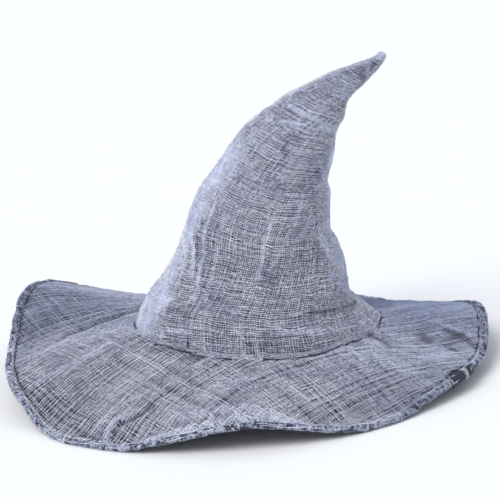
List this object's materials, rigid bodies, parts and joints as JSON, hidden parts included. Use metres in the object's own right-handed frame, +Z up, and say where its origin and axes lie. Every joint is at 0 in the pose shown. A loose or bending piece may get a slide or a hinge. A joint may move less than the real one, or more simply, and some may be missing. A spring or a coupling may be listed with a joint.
{
  "type": "wizard hat",
  "caption": "Soft wizard hat of pale gauze over dark cloth: tall hollow crown leaning sideways to a thin bent point, wide wavy brim with a folded hem, open head hollow below.",
  "frame": {"origin": "on the floor that the hat stands on, below the centre of the round brim", "axes": "+X towards the side that the crown leans to, +Y to the back of the hat, +Z up out of the crown"},
  "size_m": [0.43, 0.43, 0.2685],
  "materials": {
    "pale_gauze": "matt open-weave cotton gauze, pale grey-blue",
    "dark_cloth": "matt plain-woven dark cloth",
    "hem_gauze": "matt folded gauze binding, mottled pale grey-blue"
  },
  "bodies": {
    "root": {"crown_gauze": "pale_gauze", "brim_gauze": "pale_gauze", "crown_lining": "dark_cloth", "brim_lining": "dark_cloth", "brim_hem": "hem_gauze"}
  },
  "joints": []
}
